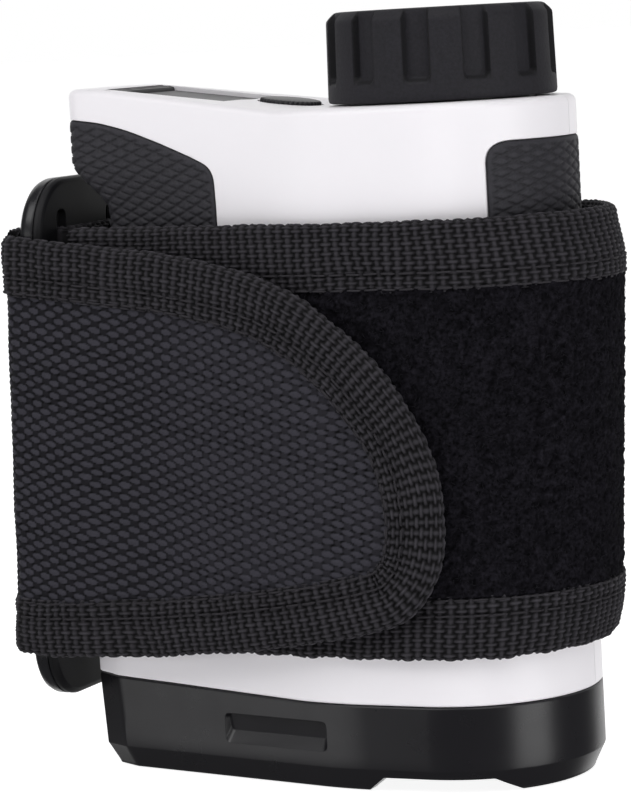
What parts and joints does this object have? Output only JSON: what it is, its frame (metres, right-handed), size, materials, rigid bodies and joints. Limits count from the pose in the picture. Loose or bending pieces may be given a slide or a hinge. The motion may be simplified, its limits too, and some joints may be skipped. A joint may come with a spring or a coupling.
{
  "type": "laser rangefinder",
  "caption": "Handheld golf-style laser rangefinder with a fluted focusing eyepiece, rubber grips and a wrap-around hook-and-loop strap carrying a magnet plate.",
  "frame": {"origin": "on the foot plane (rim of the front bezel), under the middle of the whole object's box", "axes": "+Z from the front bezel to the eyepiece, along the optical axis; +X towards the button side; -Y is the side the strap's flap closes on"},
  "size_m": [0.0888, 0.0438, 0.1051],
  "materials": {
    "white_housing": "satin moulded ABS",
    "black_plastic": "satin moulded",
    "plate_plastic": "semi-gloss moulded",
    "grip_rubber": "diamond texture, matt",
    "eyepiece_rubber": "fine grain, matt",
    "black_anodised": "black anodised",
    "coated_glass": "coated",
    "steel": "plain",
    "brass_can": "gold plated",
    "circuit_board": "solder mask",
    "nylon_weave": "ballistic nylon weave",
    "nylon_binding": "coarse woven tape",
    "loop_pile": "brushed loop pile",
    "hook_tape": "hook tape"
  },
  "bodies": {
    "housing": {"near_side_shell": "white_housing", "far_side_shell": "white_housing", "front_bezel": "black_plastic", "bezel_seal": "grip_rubber", "underside_grip": "grip_rubber", "topside_grip": "grip_rubber", "housing_screw_lower": "steel", "housing_screw_upper": "steel", "eyepiece_barrel": "black_anodised", "eyepiece_o_ring": "grip_rubber", "objective_cell": "black_anodised", "objective_lens": "coated_glass", "objective_retainer": "black_anodised", "prism_holder": "black_plastic", "roof_prism": "coated_glass", "half_penta_prism": "coated_glass", "display_module": "coated_glass", "receiver_lens": "coated_glass", "receiver_tube": "black_anodised", "photodiode_detector": "steel", "emitter_lens": "coated_glass", "emitter_tube": "black_anodised", "laser_diode": "brass_can", "main_board": "circuit_board", "processor_chip": "black_plastic", "high_voltage_module": "steel", "button_board": "circuit_board", "button_flex_cable": "circuit_board", "measure_switch": "steel", "mode_switch": "steel", "battery": "steel", "battery_sleeve": "black_plastic", "battery_spring": "steel", "door_hinge_pin": "steel", "vibration_motor": "steel", "magnet_plate": "plate_plastic", "magnet_plate_cover": "plate_plastic", "magnet_lower": "steel", "magnet_middle": "steel", "magnet_upper": "steel", "plate_screw_lower": "steel", "plate_screw_upper": "steel", "strap_band": "nylon_weave", "band_lower_binding": "nylon_binding", "band_upper_binding": "nylon_binding", "loop_field": "loop_pile"},
    "diopter_ring": {"diopter_ring": "eyepiece_rubber"},
    "ocular_cell": {"ocular_cell": "black_anodised", "eye_lens": "coated_glass", "ocular_field_lens": "coated_glass", "ocular_retainer": "black_anodised"},
    "measure_button": {"measure_button": "grip_rubber"},
    "mode_button": {"mode_button": "grip_rubber"},
    "battery_door": {"battery_door": "black_plastic", "battery_contact": "steel"},
    "door_latch": {"door_latch_dial": "black_plastic"},
    "motor_weight": {"eccentric_weight": "steel"},
    "strap_flap": {"strap_flap": "nylon_weave", "hook_pad": "hook_tape", "flap_binding": "nylon_binding"}
  },
  "joints": [
    {"name": "diopter_turn", "type": "hinge", "parent": "housing", "child": "diopter_ring", "pos_m": [0.01991, 0.0014, 0.098], "axis": [0, 0, 1], "range_deg": [-120, 120]},
    {"name": "ocular_travel", "type": "slide", "parent": "housing", "child": "ocular_cell", "axis": [0, 0, 1], "range_m": [-0.0015, 0.0015]},
    {"name": "measure_press", "type": "slide", "parent": "housing", "child": "measure_button", "axis": [-1, 0, 0], "range_m": [0, 0.0007]},
    {"name": "mode_press", "type": "slide", "parent": "housing", "child": "mode_button", "axis": [-1, 0, 0], "range_m": [0, 0.0007]},
    {"name": "battery_door_swing", "type": "hinge", "parent": "housing", "child": "battery_door", "pos_m": [-0.02599, 0.0014, 0.09538], "axis": [0, -1, 0], "range_deg": [0, 100]},
    {"name": "latch_turn", "type": "hinge", "parent": "housing", "child": "door_latch", "pos_m": [-0.00289, 0.0014, 0.0931], "axis": [0.1322, 0, 0.9912], "range_deg": [0, 90]},
    {"name": "motor_spin", "type": "hinge", "parent": "housing", "child": "motor_weight", "pos_m": [-0.00299, 0.0014, 0.07], "axis": [0, 1, 0], "continuous": true},
    {"name": "flap_open", "type": "hinge", "parent": "housing", "child": "strap_flap", "pos_m": [-0.03673, -0.0143, 0.046], "axis": [-0.034, 0, -0.9994], "range_deg": [0, 120]}
  ],
  "couplings": [
    {"joint": "ocular_travel", "follows": "diopter_turn", "m_per_rad": 0.000715}
  ]
}
